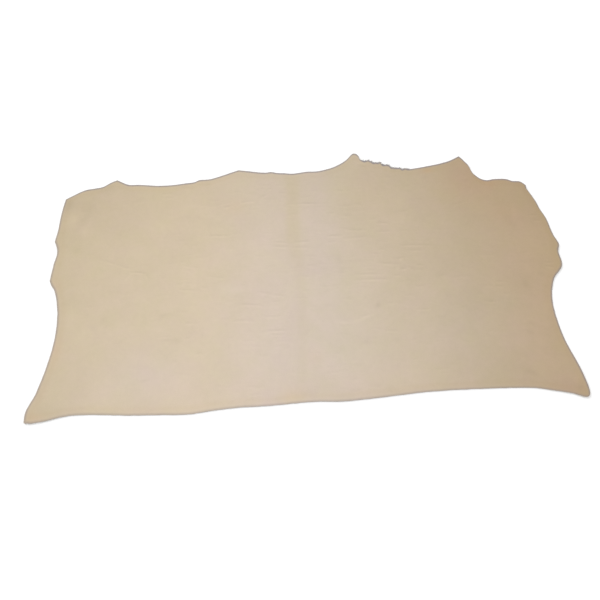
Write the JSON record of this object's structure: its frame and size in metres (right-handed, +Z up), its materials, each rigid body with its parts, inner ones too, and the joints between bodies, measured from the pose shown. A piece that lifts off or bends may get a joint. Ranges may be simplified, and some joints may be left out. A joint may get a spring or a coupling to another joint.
{
  "type": "leather hide",
  "caption": "Natural vegetable-tanned double shoulder: one flat leather sheet with a long cut edge, an uneven neck edge opposite and a pointed flank at either end.",
  "frame": {"origin": "under the middle of the hide's box, on the surface that it lies on", "axes": "+X across the hide from the left flank to the right one, +Y along the backbone towards the neck, +Z up out of the grain side"},
  "size_m": [1.616, 0.91, 0.007],
  "materials": {
    "leather": "undyed and unfinished vegetable-tanned grain, satin; suede-like flesh side"
  },
  "bodies": {
    "root": {"hide": "leather"}
  },
  "joints": []
}
